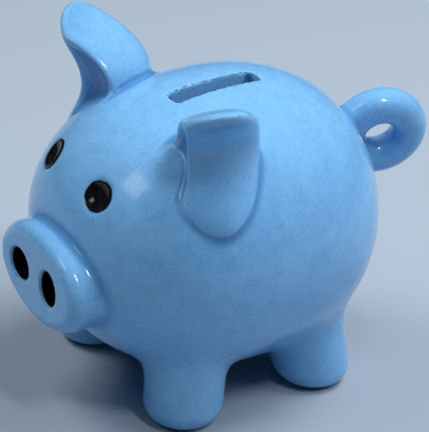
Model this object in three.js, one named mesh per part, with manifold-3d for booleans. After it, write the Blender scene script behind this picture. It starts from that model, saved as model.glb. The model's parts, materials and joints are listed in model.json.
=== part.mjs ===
// Ceramic piggy bank, in millimetres. +Z is up, the snout looks along -Y, and +X is the pig's left.
// The body is a hollow ovoid shell. The snout, ears, legs and tail are separate pieces of clay that
// sit on it, with a joint line between each piece and the shell. A soft stopper plugs the belly hole.
// The origin is on the ground, in the middle of the whole pig's footprint.
import * as THREE from 'three';
import { mergeVertices } from 'three/addons/utils/BufferGeometryUtils.js';
import Module from 'manifold-3d';

const wasm = await Module();
wasm.setup();

// ---- Driving dimensions ----------------------------------------------------------------------

// Body: an ovoid along Y. Its outline is a superellipse, a little fuller than an ellipse.
const bodyWidth = 97.8;
const bodyLength = 106.6;
const bodyHeight = 90.2;
const bodyFullness = 2.3;
const rumpWidthGain = -0.03; // share by which the tail end is wider than the middle
const rumpHeightGain = 0.065; // share by which the tail end is taller than the middle
const bellyClearance = 6.0; // ground to the lowest point of the body
const wall = 5.0;
const jointLine = 0.3; // slip layer between the body and each piece fixed to it

// Coin slot, cut by hand a little to the pig's left of the middle.
const slotLength = 29.5;
const slotWidth = 6.3;
const slotCorner = 1.4;
const slotX = 2.0;
const slotY = -0.4;

// Belly hole, in a round well with a flat seat for the stopper.
const holeRadius = 14.0;
const seatBand = 3.6; // width of the flat seat round the hole
const seatDepth = 3.6; // seat above the lowest point of the body

// Stopper.
const stopperClearance = 0.3;
const flangeEdgeGap = 0.8;
const flangeThickness = 2.0;
const plugHeight = 8.0;
const plugWall = 2.0;
const ribHeight = 0.6;
const tabLength = 14.0;
const tabThickness = 3.2;
const tabDepth = 2.6;
const tabEndFlat = 0.2; // flat left at each round end of the tab
const flangeChamfer = 0.5;
const ribPlaces = [0.25, 0.62]; // shares of the plug's height
const plugTipTaper = 0.8;
const cupTipTaper = 0.4;
const cupFloor = 1.0;

// Snout: a round-edged oval disc whose face leans back very slightly.
const snoutWidth = 47.2;
const snoutHeight = 30.5;
const snoutEdge = 4.2;
const snoutReach = 6.5; // face of the snout in front of the body
const snoutDrop = 6.5; // centre of the snout below the body's centre
const snoutX = 0.6;
const snoutLean = 0.01;
const snoutRoot = 20.0;

// Nostrils: two blind holes in the snout, each with black glaze at its bottom.
const nostrilRadius = 5.0;
const nostrilDepth = 5.0;
const nostrilSpacing = 17.4;
const nostrilRise = 0.1;
const nostrilShift = -0.8; // the pair sits a little to the pig's right of the snout's middle
const glazeThickness = 1.0;

// Eyes: shallow round dimples filled with black glaze.
const eyeBallRadius = 7.0;
const eyeDepth = 2.2;
const eyeSpacing = 30.6;
const eyeRise = 22.7; // above the body's centre
const eyeX = -3.1; // the pair sits a little to the pig's right
const eyeFillDrop = 0.5;

// Ears: upright petals whose ends curl outwards, each with a scoop that opens forwards. u runs from
// -1 at the root to 1 at the tip.
const earLength = 39.3;
const earWidth = 23.6;
const earThickness = 17.4;
const earTaper = 0.04; // share by which the tip is wider than the middle
const earThinning = 0.05; // share by which the tip is thinner than the middle
const earCurl = 16.2; // how far both ends stand out beyond the middle
const earSweep = 0.3; // how far both ends are swept forwards
const earHook = -1.0; // extra sweep of the tip, taken from the root
const earTilt = 36.5; // degrees from straight up, seen from the front, to the ear's centre
const earY = -16.3;
const earLift = 4.3; // centre of the ear above the body's surface
const earUp = new THREE.Vector3(0.05, -0.09, 0.99).normalize();
const earAcross = new THREE.Vector3(-0.37, -0.93, -0.06);
const earFrontShare = 1.4; // the half in front of the middle is deeper by this
const scoopTurn = 2.0; // degrees from straight forwards, round towards the outer face
const scoopOut = 17.2; // centre of the scoop in front of the ear's middle
const scoopHalfWidth = 7.6;
const scoopHalfDepth = 9.0;
const scoopLengthShare = 0.76;

// Tail: a rope of clay curled into a ring whose side is sunk in the rump.
const tailRingRadius = 10.1;
const tailRopeRadius = 5.7;
const tailX = 5.6;
const tailReach = 7.4; // ring centre behind the body
const tailRise = 17.7; // ring centre above the body's centre
const tailAxis = new THREE.Vector3(0.917, -0.307, -0.254).normalize();

// Legs: round stumps with rounded feet that lean in towards the body.
const legRadius = 12.3;
const footEdge = 6.2;
const legInset = 21.4; // leg axis at the ground, in from the body's side
const frontLegInset = 30.1; // and in from the body's ends
const rearLegInset = 28.1;
const legReach = 28.0; // top of the leg above the lowest point of the body
const frontLegLean = 0.1;
const rearLegLean = 0.14;

// Fineness of the round surfaces.
const bodySides = 40;
const bodyRows = 22;
const cavitySides = 28;
const cavityRows = 14;
const roundSides = 24;
const ropeSides = 12;
const ringSides = 36;
const petalRows = 16;
const edgeSteps = 3;
const searchSteps = 40;
const normalStep = 0.01;
const weldDistance = 1e-4;

// ---- Values that follow ----------------------------------------------------------------------

const bodyCentreZ = bellyClearance + bodyHeight / 2;
const seatZ = bellyClearance + seatDepth;
const wellRadius = holeRadius + seatBand;
const eyeBallOut = eyeBallRadius - eyeDepth; // centre of the dimple's ball above the surface

// ---- Materials -------------------------------------------------------------------------------

const blueGlaze = { color: 0x7db4e6, roughness: 0.15, metalness: 0 };
const blackGlaze = { color: 0x08080a, roughness: 0.08, metalness: 0 };
const stopperRubber = { color: 0xd9d4c6, roughness: 0.6, metalness: 0 };

// ---- Helpers ---------------------------------------------------------------------------------

function signedVolume(points, triangles) {
  const a = new THREE.Vector3();
  const b = new THREE.Vector3();
  const c = new THREE.Vector3();
  let total = 0;
  for (let i = 0; i < triangles.length; i += 3) {
    a.fromArray(points, 3 * triangles[i]);
    b.fromArray(points, 3 * triangles[i + 1]);
    c.fromArray(points, 3 * triangles[i + 2]);
    total += a.dot(b.cross(c)) / 6;
  }
  return total;
}

// Turns a closed geometry into a solid. Flat triangles at the poles are dropped, and the faces are
// turned over when a mirrored mapping has left them pointing in.
function solidOf(geometry) {
  const bare = geometry.clone();
  bare.deleteAttribute('normal');
  bare.deleteAttribute('uv');
  const merged = mergeVertices(bare, weldDistance);
  const points = new Float32Array(merged.attributes.position.array);
  const index = merged.index.array;
  const kept = [];
  for (let i = 0; i < index.length; i += 3) {
    const [a, b, c] = [index[i], index[i + 1], index[i + 2]];
    if (a !== b && b !== c && c !== a) kept.push(a, b, c);
  }
  if (signedVolume(points, kept) < 0) kept.reverse();
  const triVerts = new Uint32Array(kept);
  return new wasm.Manifold(new wasm.Mesh({ numProp: 3, vertProperties: points, triVerts }));
}

function geometryOf(solid) {
  const mesh = solid.getMesh();
  const geometry = new THREE.BufferGeometry();
  geometry.setAttribute('position', new THREE.BufferAttribute(mesh.vertProperties, 3));
  geometry.setIndex(new THREE.BufferAttribute(mesh.triVerts, 1));
  geometry.computeVertexNormals();
  return geometry;
}

// Moves every point of a geometry by a rule that returns its new place.
function remap(geometry, rule) {
  const position = geometry.attributes.position;
  const point = new THREE.Vector3();
  for (let i = 0; i < position.count; i += 1) {
    point.fromBufferAttribute(position, i);
    const moved = rule(point.x, point.y, point.z);
    position.setXYZ(i, moved.x, moved.y, moved.z);
  }
  return geometry;
}

function piece(name, solid, look) {
  const mesh = new THREE.Mesh(geometryOf(solid), new THREE.MeshStandardMaterial(look));
  mesh.name = name;
  return mesh;
}

// Upright cylinder of a radius between two heights.
function post(radius, low, high, sides = roundSides) {
  const geometry = new THREE.CylinderGeometry(radius, radius, high - low, sides);
  geometry.rotateX(Math.PI / 2);
  geometry.translate(0, 0, (low + high) / 2);
  return geometry;
}

// Outline of a round-edged disc for a lathe: face at height 0, back at the given depth.
function roundedDisc(radius, edge, depth) {
  const path = new THREE.Path();
  path.moveTo(0, 0);
  path.lineTo(radius - edge, 0);
  path.absarc(radius - edge, edge, edge, -Math.PI / 2, 0, false);
  path.lineTo(radius, depth);
  path.lineTo(0, depth);
  return new THREE.LatheGeometry(path.getPoints(edgeSteps), roundSides);
}

// Flat outline of a bar with round corners, centred on the origin.
function roundedBar(length, width, corner) {
  const [x, y] = [width / 2, length / 2];
  const shape = new THREE.Shape();
  shape.moveTo(-x + corner, -y);
  shape.lineTo(x - corner, -y);
  shape.absarc(x - corner, -y + corner, corner, -Math.PI / 2, 0, false);
  shape.lineTo(x, y - corner);
  shape.absarc(x - corner, y - corner, corner, 0, Math.PI / 2, false);
  shape.lineTo(-x + corner, y);
  shape.absarc(-x + corner, y - corner, corner, Math.PI / 2, Math.PI, false);
  shape.lineTo(-x, -y + corner);
  shape.absarc(-x + corner, -y + corner, corner, Math.PI, 1.5 * Math.PI, false);
  return shape;
}

function barBetween(shape, low, high) {
  const options = { depth: high - low, bevelEnabled: false, curveSegments: edgeSteps };
  return new THREE.ExtrudeGeometry(shape, options).translate(0, 0, low);
}

// ---- Body ------------------------------------------------------------------------------------

// The ovoid, grown by an offset: the body's surface, its cavity, or the surface a piece sits on.
function ovoid(offset, sides, rows) {
  const power = 2 / bodyFullness;
  const profile = [];
  for (let i = 0; i <= rows; i += 1) {
    const angle = Math.PI * (i / rows - 0.5);
    const along = Math.sign(angle) * Math.abs(Math.sin(angle)) ** power;
    profile.push(new THREE.Vector2(Math.max(0, Math.cos(angle)) ** power, along));
  }
  profile[0].x = 0;
  profile[rows].x = 0;
  const halfWidth = bodyWidth / 2 + offset;
  const halfLength = bodyLength / 2 + offset;
  const halfHeight = bodyHeight / 2 + offset;
  return remap(new THREE.LatheGeometry(profile, sides), (x, y, z) => new THREE.Vector3(
    x * halfWidth * (1 + rumpWidthGain * y),
    y * halfLength,
    bodyCentreZ + z * halfHeight * (1 + rumpHeightGain * y),
  ));
}

// Level of the body's surface at a place: 0 on it, negative inside.
function bodyLevel(x, y, z) {
  const along = y / (bodyLength / 2);
  const across = x / (bodyWidth / 2 * (1 + rumpWidthGain * along));
  const up = (z - bodyCentreZ) / (bodyHeight / 2 * (1 + rumpHeightGain * along));
  return Math.abs(along) ** bodyFullness + (across ** 2 + up ** 2) ** (bodyFullness / 2) - 1;
}

// Walks from an inner point in a direction to the body's surface.
function onBody(start, direction) {
  let low = 0;
  let high = bodyLength;
  for (let i = 0; i < searchSteps; i += 1) {
    const middle = (low + high) / 2;
    const place = start.clone().addScaledVector(direction, middle);
    if (bodyLevel(place.x, place.y, place.z) < 0) low = middle;
    else high = middle;
  }
  return start.clone().addScaledVector(direction, low);
}

function bodyNormal(place) {
  const here = bodyLevel(place.x, place.y, place.z);
  return new THREE.Vector3(
    bodyLevel(place.x + normalStep, place.y, place.z) - here,
    bodyLevel(place.x, place.y + normalStep, place.z) - here,
    bodyLevel(place.x, place.y, place.z + normalStep) - here,
  ).normalize();
}

const front = new THREE.Vector3(0, -1, 0);
const up = new THREE.Vector3(0, 0, 1);
const bodySolid = solidOf(ovoid(0, bodySides, bodyRows));
const trimSolid = solidOf(ovoid(jointLine, bodySides, bodyRows));

function eyeCentre(side) {
  const start = new THREE.Vector3(eyeX + side * eyeSpacing / 2, 0, bodyCentreZ + eyeRise);
  const place = onBody(start, front);
  return place.addScaledVector(bodyNormal(place), eyeBallOut);
}

function eyeBall(side, radius) {
  const centre = eyeCentre(side);
  const ball = new THREE.SphereGeometry(radius, roundSides, roundSides / 2);
  return solidOf(ball.translate(centre.x, centre.y, centre.z));
}

function bodyShell() {
  const above = bodyCentreZ + bodyHeight;
  const slot = barBetween(roundedBar(slotLength, slotWidth, slotCorner), bodyCentreZ, above);
  return bodySolid
    .subtract(solidOf(ovoid(-wall, cavitySides, cavityRows)))
    .subtract(solidOf(slot.translate(slotX, slotY, 0)))
    .subtract(solidOf(post(wellRadius, -bodyHeight, seatZ)))
    .subtract(solidOf(post(holeRadius, -bodyHeight, bodyCentreZ / 2)))
    .subtract(eyeBall(1, eyeBallRadius))
    .subtract(eyeBall(-1, eyeBallRadius));
}

function eyeGlaze(side) {
  const pool = eyeBall(side, eyeBallRadius - jointLine);
  return pool.intersect(solidOf(ovoid(-eyeFillDrop, bodySides, bodyRows)));
}

// ---- Snout -----------------------------------------------------------------------------------

const snoutFace = new THREE.Vector3(
  snoutX, -bodyLength / 2 - snoutReach, bodyCentreZ - snoutDrop,
);
const snoutOut = new THREE.Vector3(0, -1, snoutLean).normalize();
const snoutUp = new THREE.Vector3(1, 0, 0).cross(snoutOut).negate();

// Places lathe coordinates on the snout: across, depth behind the face, and up the face.
function snoutPlace(across, depth, rise) {
  return snoutFace.clone()
    .addScaledVector(new THREE.Vector3(1, 0, 0), across)
    .addScaledVector(snoutOut, -depth)
    .addScaledVector(snoutUp, rise);
}

function nostrilPost(side, radius, near, far) {
  const geometry = new THREE.CylinderGeometry(radius, radius, far - near, roundSides);
  const across = side * nostrilSpacing / 2 + nostrilShift;
  geometry.translate(across, (near + far) / 2, nostrilRise);
  return solidOf(remap(geometry, snoutPlace));
}

function snout() {
  const squash = snoutHeight / snoutWidth;
  const disc = roundedDisc(snoutWidth / 2, snoutEdge, snoutRoot);
  return solidOf(remap(disc, (x, y, z) => snoutPlace(x, y, z * squash)))
    .subtract(trimSolid)
    .subtract(nostrilPost(1, nostrilRadius, -nostrilDepth, nostrilDepth))
    .subtract(nostrilPost(-1, nostrilRadius, -nostrilDepth, nostrilDepth));
}

function nostrilGlaze(side) {
  const far = nostrilDepth - jointLine;
  return nostrilPost(side, nostrilRadius - jointLine, far - glazeThickness, far);
}

// ---- Ears ------------------------------------------------------------------------------------

const earForward = earAcross.clone()
  .addScaledVector(earUp, -earAcross.dot(earUp))
  .normalize();
const earOutward = earUp.clone().cross(earForward);

function earCentre() {
  const tilt = THREE.MathUtils.degToRad(earTilt);
  const radial = new THREE.Vector3(Math.sin(tilt), 0, Math.cos(tilt));
  const root = new THREE.Vector3(0, earY, bodyCentreZ);
  return onBody(root, radial).addScaledVector(radial, earLift);
}

// Places a point of the ear: u along it, then distances forwards and outwards. Both ends curl.
function earPlace(side, u, forward, outward) {
  const sweep = earSweep * u ** 2 + earHook * u ** 3;
  const place = earCentre()
    .addScaledVector(earUp, u * earLength / 2)
    .addScaledVector(earForward, forward + sweep)
    .addScaledVector(earOutward, outward + earCurl * u ** 2);
  return place.setX(side * place.x);
}

function petal(side) {
  const ball = new THREE.SphereGeometry(1, roundSides, petalRows);
  return solidOf(remap(ball, (x, y, z) => earPlace(
    side,
    y,
    x * (x > 0 ? earFrontShare : 1) * (1 + earTaper * y) * earWidth / 2,
    z * (1 - earThinning * y) * earThickness / 2,
  )));
}

function earScoop(side) {
  const turn = THREE.MathUtils.degToRad(scoopTurn);
  const ball = new THREE.SphereGeometry(1, roundSides, petalRows);
  return solidOf(remap(ball, (x, y, z) => {
    const aside = x * scoopHalfWidth;
    const out = z * scoopHalfDepth + scoopOut;
    return earPlace(
      side,
      y * scoopLengthShare,
      out * Math.cos(turn) + aside * Math.sin(turn),
      out * Math.sin(turn) - aside * Math.cos(turn),
    );
  }));
}

function ear(side) {
  return petal(side).subtract(earScoop(side)).subtract(trimSolid);
}

// ---- Tail ------------------------------------------------------------------------------------

function tail() {
  const ring = new THREE.TorusGeometry(tailRingRadius, tailRopeRadius, ropeSides, ringSides);
  const turn = new THREE.Quaternion().setFromUnitVectors(up, tailAxis);
  ring.applyQuaternion(turn);
  ring.translate(tailX, bodyLength / 2 + tailReach, bodyCentreZ + tailRise);
  return solidOf(ring).subtract(trimSolid);
}

// ---- Legs ------------------------------------------------------------------------------------

// The foot stays flat on the ground: the leg's sections slide in towards the body as they rise.
function leg(side, end, inset, lean) {
  const x0 = side * (bodyWidth / 2 - legInset);
  const y0 = end * (bodyLength / 2 - inset);
  const stump = roundedDisc(legRadius, footEdge, bellyClearance + legReach);
  return solidOf(remap(stump, (x, y, z) => new THREE.Vector3(
    x0 + x - side * lean * y,
    y0 - z - end * lean * y,
    y,
  ))).subtract(trimSolid);
}

// ---- Stopper ---------------------------------------------------------------------------------

function stopper() {
  const ribRadius = holeRadius - stopperClearance;
  const plugRadius = ribRadius - ribHeight;
  const cupRadius = plugRadius - plugWall;
  const flangeTop = seatZ - stopperClearance;
  const flangeLow = flangeTop - flangeThickness;
  const top = flangeTop + plugHeight;
  const rim = wellRadius - flangeEdgeGap;
  const outline = [
    [0, flangeLow],
    [rim - flangeChamfer, flangeLow],
    [rim, flangeLow + flangeChamfer],
    [rim, flangeTop],
    [plugRadius, flangeTop],
  ];
  for (const share of ribPlaces) {
    const rib = flangeTop + share * plugHeight;
    outline.push([plugRadius, rib - ribHeight]);
    outline.push([ribRadius, rib]);
    outline.push([plugRadius, rib + ribHeight]);
  }
  outline.push([plugRadius - plugTipTaper, top]);
  outline.push([cupRadius - cupTipTaper, top]);
  outline.push([cupRadius, flangeTop + cupFloor]);
  outline.push([0, flangeTop + cupFloor]);
  const points = outline.map(([radius, height]) => new THREE.Vector2(radius, height));
  const turned = new THREE.LatheGeometry(points, roundSides).rotateX(Math.PI / 2);
  const tabShape = roundedBar(tabLength, tabThickness, (tabThickness - tabEndFlat) / 2);
  const tab = barBetween(tabShape, flangeLow - tabDepth, flangeLow + flangeThickness / 2);
  return solidOf(turned).add(solidOf(tab));
}

// ---- Assembly --------------------------------------------------------------------------------

const pig = new THREE.Group();
pig.add(
  piece('body_shell', bodyShell(), blueGlaze),
  piece('snout', snout(), blueGlaze),
  piece('stopper', stopper(), stopperRubber),
  piece('tail_loop', tail(), blueGlaze),
);
for (const [sideName, side] of [['left', 1], ['right', -1]]) {
  pig.add(
    piece(`eye_${sideName}`, eyeGlaze(side), blackGlaze),
    piece(`nostril_${sideName}`, nostrilGlaze(side), blackGlaze),
    piece(`ear_${sideName}`, ear(side), blueGlaze),
    piece(`leg_front_${sideName}`, leg(side, -1, frontLegInset, frontLegLean), blueGlaze),
    piece(`leg_rear_${sideName}`, leg(side, 1, rearLegInset, rearLegLean), blueGlaze),
  );
}

// The footprint's middle becomes the origin.
const box = new THREE.Box3().setFromObject(pig);
pig.position.y = -(box.min.y + box.max.y) / 2;
pig.position.x = -(box.min.x + box.max.x) / 2;

export default pig;
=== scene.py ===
"""Looks of a small glazed piggy bank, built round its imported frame.

The pig is a hollow ovoid with a snout, ears, legs and a ring tail fixed to it with slip. Its forms are
level functions: a function of a point that is negative inside, zero on the surface and positive
outside, close to the distance in millimetres. Each piece is meshed from its own level function, and
all pieces share one outer surface, so that the glaze runs on from piece to piece. The stopper is
turned and its ribs and grip ridges come from node trees.
"""

import json
import logging
import math
from dataclasses import dataclass, field
from enum import Enum
from functools import partial
from typing import Callable, Sequence

import bmesh
import bpy
import numpy as np
from mathutils import Matrix, Vector


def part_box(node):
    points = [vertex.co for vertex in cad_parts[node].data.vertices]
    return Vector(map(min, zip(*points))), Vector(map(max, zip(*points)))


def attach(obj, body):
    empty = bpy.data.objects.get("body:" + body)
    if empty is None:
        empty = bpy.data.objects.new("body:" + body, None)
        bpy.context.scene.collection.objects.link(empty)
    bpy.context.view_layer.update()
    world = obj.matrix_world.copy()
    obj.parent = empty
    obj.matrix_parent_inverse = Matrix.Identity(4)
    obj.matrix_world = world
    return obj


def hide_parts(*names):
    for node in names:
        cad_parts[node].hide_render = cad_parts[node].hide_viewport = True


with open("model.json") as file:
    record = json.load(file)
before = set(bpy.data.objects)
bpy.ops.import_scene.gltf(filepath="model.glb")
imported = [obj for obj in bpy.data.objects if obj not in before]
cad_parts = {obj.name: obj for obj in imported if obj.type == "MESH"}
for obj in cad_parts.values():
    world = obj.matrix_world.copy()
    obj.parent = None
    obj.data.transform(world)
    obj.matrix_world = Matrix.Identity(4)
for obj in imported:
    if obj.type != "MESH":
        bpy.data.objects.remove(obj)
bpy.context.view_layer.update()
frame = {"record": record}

logging.basicConfig(level=logging.INFO, format="%(name)s: %(message)s")
LOG = logging.getLogger("piggy_bank")

MM = 0.001
BODY = "pig"
PLUG = "plug"
TINY = 1e-9  # keeps divisions away from zero
SPARE = 1.0  # room left round a form that is meshed, in millimetres
Level = Callable[[np.ndarray], np.ndarray]
Colour = tuple[float, float, float]


class Option(Enum):
    """A choice that the frame's node names spell out."""

    @property
    def word(self) -> str:
        """Name of the choice as the frame's nodes spell it."""
        return self.name.lower()


class Side(Option):
    """The two sides of the pig, with the sign of X there."""

    LEFT = 1
    RIGHT = -1


class End(Option):
    """The two ends of the pig, with the sign of Y there."""

    FRONT = -1
    REAR = 1


# ---- Frame ----------------------------------------------------------------------------------------


def node_box(node: str) -> tuple[np.ndarray, np.ndarray]:
    """Gives the box of one frame node.

    Args:
        node: Name of the node.

    Returns:
        The lowest and highest corners, in millimetres.
    """
    low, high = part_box(node)
    return np.array(low) / MM, np.array(high) / MM


def node_centre(node: str) -> np.ndarray:
    """Gives the middle of a frame node's box, in millimetres."""
    low, high = node_box(node)
    return (low + high) / 2


def mount_place(name: str) -> np.ndarray:
    """Gives the place of one of the record's mounts, in millimetres."""
    mounts = {mount["name"]: mount for mount in frame["record"]["mounts"]}
    return np.array(mounts[name]["pos_m"], float) / MM


def opening_box(name: str) -> tuple[np.ndarray, np.ndarray]:
    """Gives the box of one of the record's openings.

    Args:
        name: Name of the opening.

    Returns:
        The lowest and highest corners, in millimetres.
    """
    openings = {entry["name"]: entry for entry in frame["record"]["physics"]["openings"]}
    low, high = openings[name]["box_m"]
    return np.array(low, float) / MM, np.array(high, float) / MM


# ---- Level functions ------------------------------------------------------------------------------


def unit(vector: Sequence[float]) -> np.ndarray:
    """Returns a vector scaled to length one."""
    array = np.array(vector, float)
    return array / np.linalg.norm(array)


def joined(first: np.ndarray, second: np.ndarray, reach: float) -> np.ndarray:
    """Joins two levels with a smooth fillet.

    Args:
        first: Levels of one form.
        second: Levels of the other form.
        reach: How far from the crease the fillet starts, in millimetres.

    Returns:
        Levels of the joined form.
    """
    share = np.clip(reach - np.abs(first - second), 0, None) / reach
    return np.minimum(first, second) - share**3 * reach / 6


def rounded(first: np.ndarray, second: np.ndarray, edge: float) -> np.ndarray:
    """Keeps what two forms share, with a round edge.

    Args:
        first: Levels of one form.
        second: Levels of the other form, which meets it at a right angle.
        edge: Radius of the edge, in millimetres.

    Returns:
        Levels of the shared form.
    """
    out = np.stack([first, second]) + edge
    return np.minimum(out.max(0), 0) + np.linalg.norm(np.maximum(out, 0), axis=0) - edge


def shared(first: np.ndarray, second: np.ndarray, reach: float) -> np.ndarray:
    """Keeps what two forms share, with a rounded edge of the given reach."""
    return -joined(-first, -second, reach)


def cut(form: np.ndarray, tool: np.ndarray, reach: float) -> np.ndarray:
    """Takes a tool's form away, with a rounded edge of the given reach."""
    return shared(form, -tool, reach)


def gradient(level: Level, points: np.ndarray, step: float = 0.02) -> np.ndarray:
    """Measures how a level function changes.

    Args:
        level: The level function.
        points: Places, one row each.
        step: Half the distance between the two samples on each axis.

    Returns:
        One gradient for each place.
    """
    rises = [level(points + shift) - level(points - shift) for shift in step * np.eye(3)]
    return np.stack(rises, axis=1) / (2 * step)


def settled(level: Level, points: np.ndarray, rounds: int = 4, longest: float = 0.5) -> np.ndarray:
    """Moves points onto the zero of a level function.

    Args:
        level: The level function.
        points: Places near its surface.
        rounds: Number of corrections.
        longest: Longest move along an axis in one round, in millimetres.

    Returns:
        The corrected places.
    """
    least_slope = 0.05
    places = points.copy()
    for _ in range(rounds):
        slope = gradient(level, places)
        size = np.maximum((slope**2).sum(1), least_slope)
        move = slope * (level(places) / size)[:, None]
        places -= np.clip(move, -longest, longest)
    return places


def bend(level: Level, points: np.ndarray, step: float = 0.9) -> np.ndarray:
    """Measures how sharply a surface bends: positive on edges and negative in creases.

    Args:
        level: The level function of the surface.
        points: Places on it, one row each.
        step: Distance of the six samples from each place.

    Returns:
        One bend for each place.
    """
    around = -6 * level(points)
    for shift in step * np.eye(3):
        around += level(points + shift) + level(points - shift)
    return around / step**2


@dataclass(frozen=True)
class Ovoid:
    """Outer form of the body, a superellipse turned about Y.

    The half sizes and the centre are in millimetres. The gains are the shares by which the rump is
    wider and taller than the middle. The waves are the slight unevenness of a form made by hand.
    """

    half_width: float
    half_length: float
    half_height: float
    centre: tuple[float, float, float]
    fullness: float = 2.3
    width_gain: float = -0.03
    height_gain: float = 0.065
    wave_height: float = 0.09
    wave_sizes: tuple[float, float, float] = (9.0, 11.0, 8.0)
    wave_starts: tuple[float, float, float] = (1.3, 0.4, 2.1)

    @classmethod
    def from_frame(cls, clearance: float = 6.0) -> "Ovoid":
        """Fits the ovoid to the frame's body.

        Args:
            clearance: Ground to the lowest point of the body.

        Returns:
            The ovoid.
        """
        low, high = node_box("body_shell")
        along = np.linspace(-1, 1, 2001)
        section = (1 - np.abs(along) ** cls.fullness) ** (1 / cls.fullness)
        peak = ((1 + cls.height_gain * along) * section).max()
        half_height = (high[2] - clearance) / (1 + peak)
        centre = ((low[0] + high[0]) / 2, (low[1] + high[1]) / 2, clearance + half_height)
        return cls((high[0] - low[0]) / 2, (high[1] - low[1]) / 2, half_height, centre)

    def level(self, points: np.ndarray, grow: float = 0.0) -> np.ndarray:
        """Gives the level of the ovoid.

        Args:
            points: Places, one row each.
            grow: How far the surface is moved out.

        Returns:
            One level for each place.
        """
        spot = points - np.array(self.centre)
        x, y, z = spot.T
        width, length, height = (
            half + grow for half in (self.half_width, self.half_length, self.half_height)
        )
        u = y / length
        wide = width * (1 + self.width_gain * u)
        tall = height * (1 + self.height_gain * u)
        ring = np.maximum((x / wide) ** 2 + (z / tall) ** 2, TINY)
        total = np.maximum(np.abs(u) ** self.fullness + ring ** (self.fullness / 2), TINY)
        outer = ring ** (self.fullness / 2 - 1) * self.fullness
        swing = x**2 * width * self.width_gain / wide**3 + z**2 * height * self.height_gain / tall**3
        slope_y = self.fullness * np.abs(u) ** (self.fullness - 1) * np.sign(u) - outer * swing
        slope = np.sqrt((outer * x / wide**2) ** 2 + (outer * z / tall**2) ** 2 + (slope_y / length) ** 2)
        slope *= total ** (1 / self.fullness - 1) / self.fullness
        size = total ** (1 / self.fullness)
        waves = np.sin(spot / self.wave_sizes + self.wave_starts).prod(axis=1)
        least_slope = 1e-3
        return (size - 1) / np.maximum(slope, least_slope) + self.wave_height * waves

    def nearest(self, place: np.ndarray) -> tuple[np.ndarray, np.ndarray]:
        """Gives the surface point and outward normal next to a place."""
        spot = settled(self.level, np.array([place], float), rounds=8)
        return spot[0], unit(gradient(self.level, spot)[0])


# ---- Meshing --------------------------------------------------------------------------------------


@dataclass
class Shape:
    """A mesh in millimetres: its points, and its faces as rows of point numbers."""

    points: np.ndarray
    faces: list[tuple[int, ...]]


@dataclass(frozen=True)
class Net:
    """Meshes a level function with a net that has one point in each cell the surface crosses."""

    cell: float

    def shape(self, level: Level, low: np.ndarray, high: np.ndarray) -> Shape:
        """Meshes the zero surface inside a box.

        Args:
            level: The level function.
            low: Lowest corner of the box.
            high: Highest corner of the box.

        Returns:
            A closed mesh with its faces pointing out.
        """
        margin = 2 * self.cell
        start = low - margin
        counts = np.ceil((high - low + 2 * margin) / self.cell).astype(int) + 1
        ticks = [start[axis] + self.cell * np.arange(counts[axis]) for axis in range(3)]
        values = self._sampled(level, ticks)
        total = np.zeros((*(counts - 1), 3))
        number = np.zeros(counts - 1)
        crossings = [self._crossings(values, axis) for axis in range(3)]
        for axis, (edges, share, _) in enumerate(crossings):
            spots = edges.astype(float)
            spots[:, axis] += share
            for cell in self._around(edges, axis):
                inside = np.all((cell >= 0) & (cell < counts - 1), axis=1)
                np.add.at(total, tuple(cell[inside].T), spots[inside])
                np.add.at(number, tuple(cell[inside].T), 1)
        used = number > 0
        labels = np.full(number.shape, -1)
        labels[used] = np.arange(used.sum())
        points = start + self.cell * total[used] / number[used][:, None]
        faces: list[tuple[int, ...]] = []
        for axis, (edges, _, leaving) in enumerate(crossings):
            ring = np.stack([labels[tuple(cell.T)] for cell in self._around(edges, axis)], axis=1)
            ring[~leaving] = ring[~leaving][:, ::-1]
            faces += [tuple(row) for row in ring.tolist()]
        return Shape(settled(level, points), faces)

    def _sampled(self, level: Level, ticks: Sequence[np.ndarray]) -> np.ndarray:
        """Samples a level function on the grid, and closes the form at the grid's sides.

        Args:
            level: The level function.
            ticks: Places of the grid's points along each axis.

        Returns:
            The levels, with one axis for each axis of the grid.
        """
        values = np.empty([len(row) for row in ticks])
        y, z = np.meshgrid(ticks[1], ticks[2], indexing="ij")
        for row, x in enumerate(ticks[0]):
            slab = np.stack([np.full(y.size, x), y.ravel(), z.ravel()], axis=1)
            values[row] = level(slab).reshape(y.shape)
        for axis in range(3):
            for end in (0, -1):
                layer = np.moveaxis(values, axis, 0)[end]
                np.maximum(layer, self.cell, out=layer)
        return values

    @staticmethod
    def _crossings(values: np.ndarray, axis: int) -> tuple[np.ndarray, np.ndarray, np.ndarray]:
        """Finds the grid edges along one axis that the surface crosses.

        Args:
            values: Levels on the grid.
            axis: The axis of the edges.

        Returns:
            The edges' lower ends, the share of each edge before the surface, and whether the edge
            leaves the form.
        """
        near = np.take(values, range(values.shape[axis] - 1), axis)
        far = np.take(values, range(1, values.shape[axis]), axis)
        crossed = (near < 0) != (far < 0)
        share = near[crossed] / (near[crossed] - far[crossed])
        return np.argwhere(crossed), share, near[crossed] < 0

    @staticmethod
    def _around(edges: np.ndarray, axis: int) -> list[np.ndarray]:
        """Lists the four cells round each edge, in turning order about the axis.

        Args:
            edges: Lower ends of the edges.
            axis: The axis of the edges.

        Returns:
            Four arrays of cells, one row for each edge.
        """
        first, second = (axis + 1) % 3, (axis + 2) % 3
        cells = []
        for back_first, back_second in ((1, 1), (0, 1), (0, 0), (1, 0)):
            cell = edges.copy()
            cell[:, first] -= back_first
            cell[:, second] -= back_second
            cells.append(cell)
        return cells


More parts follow.
